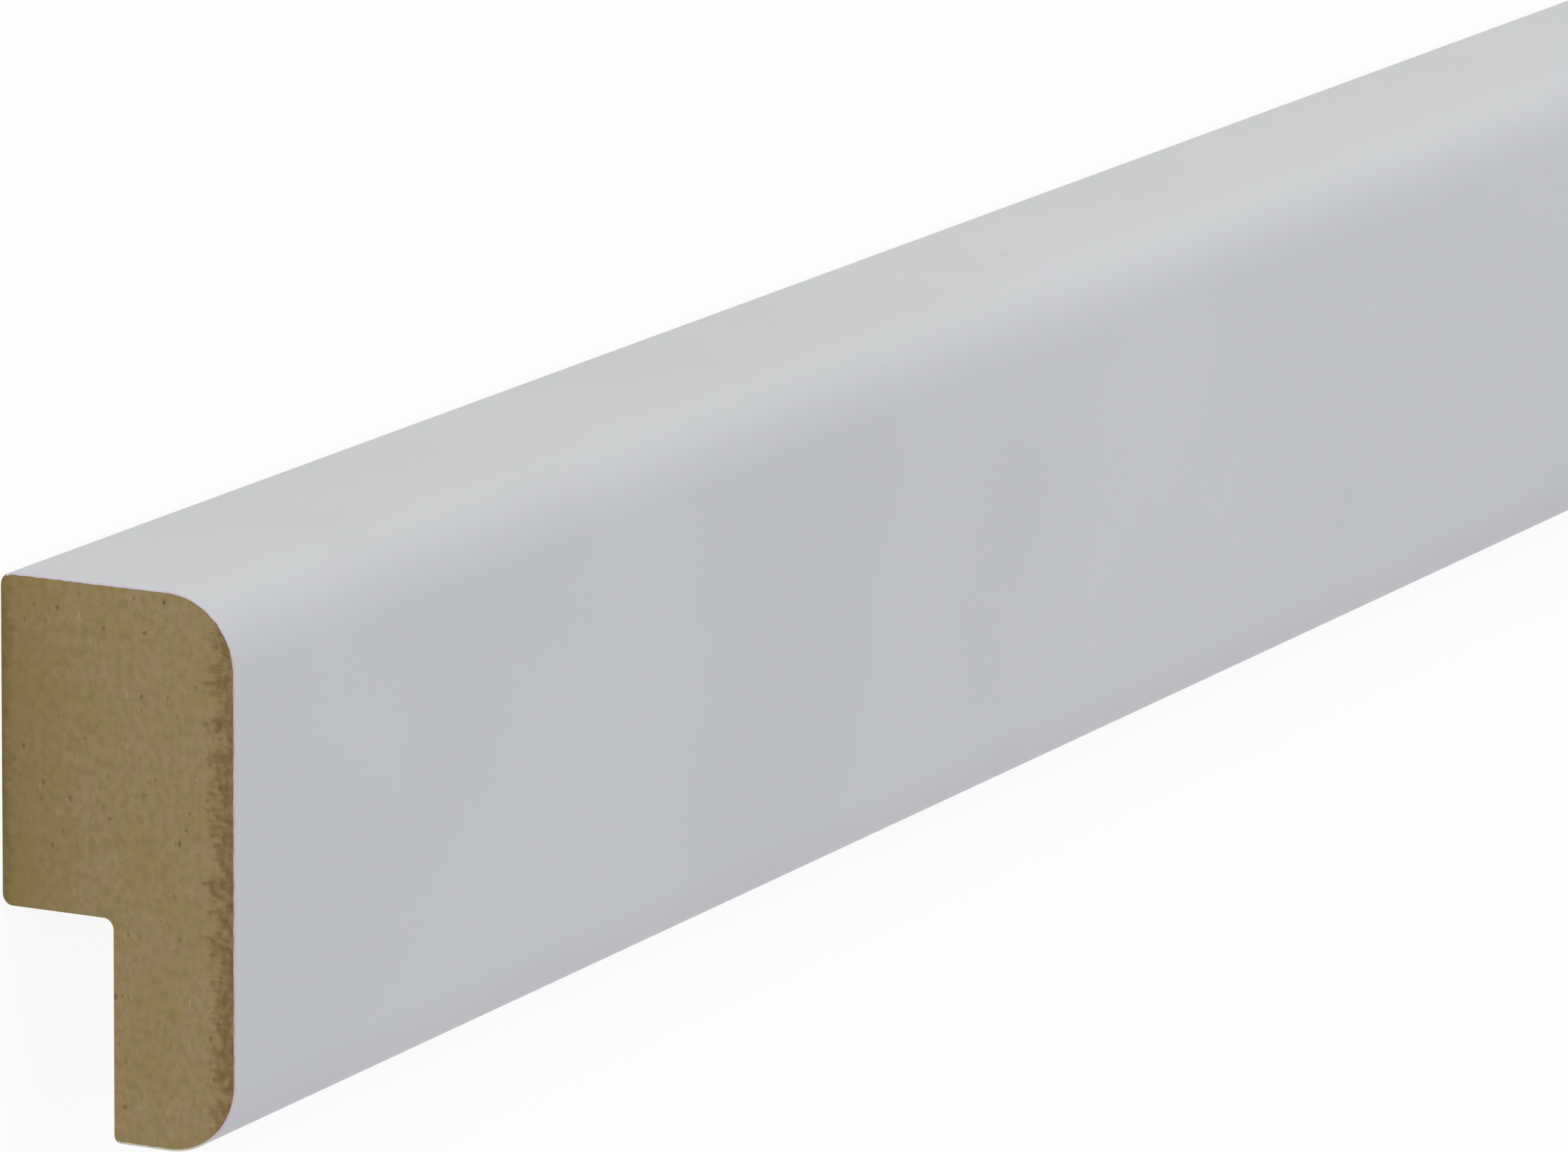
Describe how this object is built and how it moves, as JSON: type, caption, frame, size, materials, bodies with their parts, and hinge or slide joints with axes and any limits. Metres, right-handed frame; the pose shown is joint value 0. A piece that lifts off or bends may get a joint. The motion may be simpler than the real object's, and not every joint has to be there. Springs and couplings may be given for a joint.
{
  "type": "picture frame moulding",
  "caption": "Straight length of rebated picture frame moulding in coated fibreboard, with a flat face, rounded edges and square-sawn ends, for mitring into frames.",
  "frame": {"origin": "on the back face's plane, at mid length and mid width of the moulding", "axes": "+X along the length, away from the end that is seen, +Y across the face from the sight edge to the outer edge, +Z out of the face; the moulding lies on its back"},
  "size_m": [2.4, 0.03, 0.014],
  "materials": {
    "coating": "smooth satin pale grey-white coating on the face, outer edge and sight edge",
    "raw_board": "bare medium-density fibreboard on the sawn ends, back and rebate"
  },
  "bodies": {
    "root": {"moulding": "coating"}
  },
  "joints": []
}
